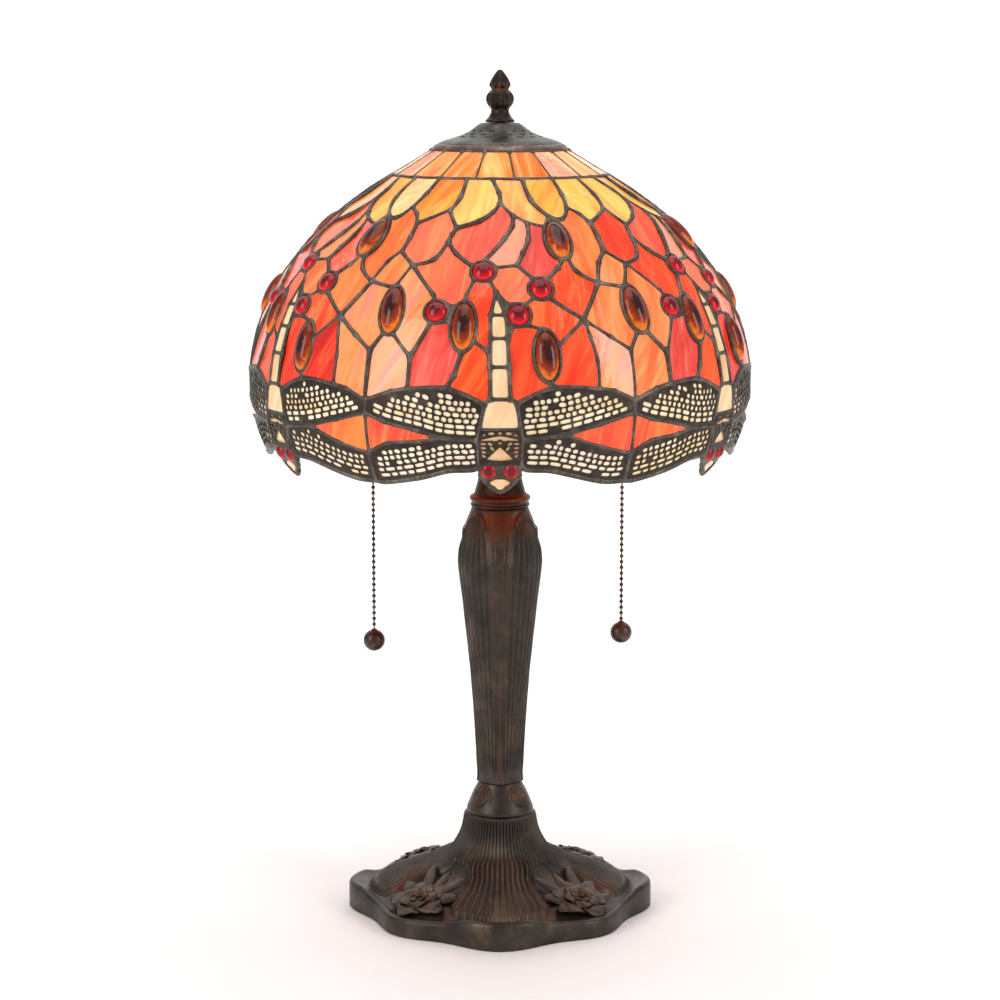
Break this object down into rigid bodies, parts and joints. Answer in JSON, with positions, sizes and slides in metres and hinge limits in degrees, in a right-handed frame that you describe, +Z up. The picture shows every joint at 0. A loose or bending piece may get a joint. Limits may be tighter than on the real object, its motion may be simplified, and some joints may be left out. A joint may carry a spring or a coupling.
{
  "type": "stained glass table lamp",
  "caption": "Domed leaded glass lamp shade with dragonfly panels on a fluted bronze column and lobed floral foot, with pull-chain lampholders.",
  "frame": {"origin": "centre of the foot's underside, on the surface the lamp stands on", "axes": "+Z up along the column, -Y towards the front, +X to the right as seen from the front"},
  "size_m": [0.309, 0.3078, 0.523],
  "materials": {
    "bronze_casting": "dark antique bronze, satin, brown in the recesses",
    "bronze_trim": "dark antique bronze, satin",
    "weight_iron": "rough cast iron",
    "felt": "dark green felt",
    "gland_plastic": "black moulded bush",
    "chain_metal": "aged brass",
    "steel": "zinc plated steel",
    "socket_metal": "bronzed metal shell",
    "socket_ceramic": "white porcelain",
    "bulb_glass": "frosted warm white glass",
    "bulb_cap": "rolled screw cap",
    "solder": "dark patinated solder",
    "filigree_metal": "dark pierced sheet metal",
    "amber_glass": "streaky orange art glass",
    "golden_glass": "streaky golden art glass",
    "scarlet_glass": "streaky scarlet art glass",
    "ruby_glass": "deep red art glass",
    "tangerine_glass": "streaky orange-red art glass",
    "salmon_glass": "streaky salmon art glass",
    "rose_glass": "pink-red art glass",
    "border_glass": "bright red art glass",
    "cream_glass": "cream opal glass",
    "wing_cream_glass": "cream opal glass behind pierced metal",
    "ruby_jewel": "clear ruby cast jewel",
    "amber_jewel": "clear amber cast jewel"
  },
  "bodies": {
    "stand": {"base_casting": "bronze_casting", "foot_flowers": "bronze_casting", "base_weight": "weight_iron", "felt_pad": "felt", "cord_gland": "gland_plastic", "rod_nut": "chain_metal", "lock_washer": "steel", "centre_rod": "chain_metal", "column": "bronze_casting", "column_collar": "bronze_casting", "neck_cup": "bronze_casting", "cluster_body": "bronze_casting", "upper_rod": "chain_metal", "shade_rest_washer": "steel", "left_socket_shell": "socket_metal", "right_socket_shell": "socket_metal", "left_socket_core": "socket_ceramic", "right_socket_core": "socket_ceramic", "left_contact": "chain_metal", "right_contact": "chain_metal", "left_chain_bell": "chain_metal", "right_chain_bell": "chain_metal"},
    "finial": {"finial": "bronze_trim"},
    "shade": {"shade_ring": "solder", "vented_cap": "bronze_trim", "band_glass": "amber_glass", "petal_glass": "golden_glass", "scarlet_glass": "scarlet_glass", "ruby_glass": "ruby_glass", "tangerine_glass": "tangerine_glass", "salmon_glass": "salmon_glass", "rose_glass": "rose_glass", "border_glass": "border_glass", "tail_glass": "cream_glass", "head_glass": "cream_glass", "wing_glass": "wing_cream_glass", "round_jewels": "ruby_jewel", "oval_jewels": "amber_jewel", "eye_jewels": "ruby_jewel", "foil_frames": "solder", "wing_filigree": "filigree_metal", "body_filigree": "filigree_metal", "rim_wire": "solder"},
    "left_bulb": {"left_bulb_glass": "bulb_glass", "left_bulb_cap": "bulb_cap"},
    "right_bulb": {"right_bulb_glass": "bulb_glass", "right_bulb_cap": "bulb_cap"},
    "left_pull": {"left_pull_link": "chain_metal"},
    "right_pull": {"right_pull_link": "chain_metal"},
    "left_chain_joint": {"left_chain_coupling": "chain_metal"},
    "right_chain_joint": {"right_chain_coupling": "chain_metal"},
    "left_chain": {"left_pull_chain": "chain_metal", "left_ball_pull": "bronze_trim"},
    "right_chain": {"right_pull_chain": "chain_metal", "right_ball_pull": "bronze_trim"}
  },
  "joints": [
    {"name": "finial_turn", "type": "hinge", "parent": "stand", "child": "finial", "pos_m": [0, 0, 0.497], "axis": [0, 0, 1], "continuous": true},
    {"name": "shade_turn", "type": "hinge", "parent": "stand", "child": "shade", "pos_m": [0, 0, 0.49], "axis": [0, 0, 1], "continuous": true},
    {"name": "left_bulb_turn", "type": "hinge", "parent": "stand", "child": "left_bulb", "pos_m": [-0.032, 0, 0.313], "axis": [-0.5736, 0, 0.8192], "continuous": true},
    {"name": "left_switch_pull", "type": "slide", "parent": "stand", "child": "left_pull", "axis": [0, 0, -1], "range_m": [0, 0.008], "stiffness_N_per_m": 900},
    {"name": "left_chain_sway", "type": "hinge", "parent": "left_pull", "child": "left_chain_joint", "pos_m": [-0.0785, 0, 0.3084], "axis": [0, 1, 0], "range_deg": [-12, 20]},
    {"name": "left_chain_swing", "type": "hinge", "parent": "left_chain_joint", "child": "left_chain", "pos_m": [-0.0785, 0, 0.3039], "axis": [1, 0, 0], "range_deg": [-25, 25]},
    {"name": "right_bulb_turn", "type": "hinge", "parent": "stand", "child": "right_bulb", "pos_m": [0.032, 0, 0.313], "axis": [0.5736, 0, 0.8192], "continuous": true},
    {"name": "right_switch_pull", "type": "slide", "parent": "stand", "child": "right_pull", "axis": [0, 0, -1], "range_m": [0, 0.008], "stiffness_N_per_m": 900},
    {"name": "right_chain_sway", "type": "hinge", "parent": "right_pull", "child": "right_chain_joint", "pos_m": [0.0755, 0, 0.3084], "axis": [0, 1, 0], "range_deg": [-20, 12]},
    {"name": "right_chain_swing", "type": "hinge", "parent": "right_chain_joint", "child": "right_chain", "pos_m": [0.0755, 0, 0.3039], "axis": [1, 0, 0], "range_deg": [-25, 25]}
  ]
}
